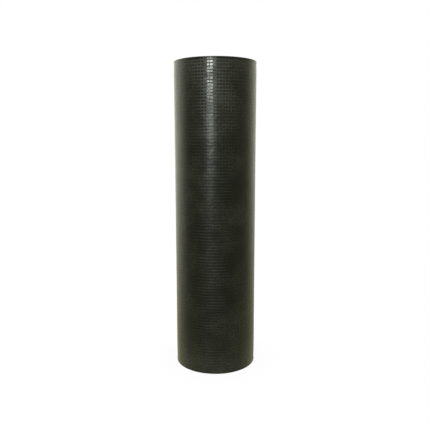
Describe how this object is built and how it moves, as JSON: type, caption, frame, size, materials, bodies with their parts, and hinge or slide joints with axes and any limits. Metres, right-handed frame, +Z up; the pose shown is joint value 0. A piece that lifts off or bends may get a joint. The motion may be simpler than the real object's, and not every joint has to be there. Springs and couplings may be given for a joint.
{
  "type": "roll of damp proof course",
  "caption": "Roll of black embossed polyethylene film wound on itself without a core, standing on its end, with an open bore through it.",
  "frame": {"origin": "middle of the roll's lower end, on its axis, at the level of the surface that it stands on", "axes": "+Z up along the roll's axis, -Y towards the viewer; the film's radius grows with the angle from +X towards +Y"},
  "size_m": [0.1607, 0.1611, 0.6],
  "materials": {
    "embossed_polyethylene": "satin"
  },
  "bodies": {
    "root": {"dpc_roll": "embossed_polyethylene"}
  },
  "joints": []
}
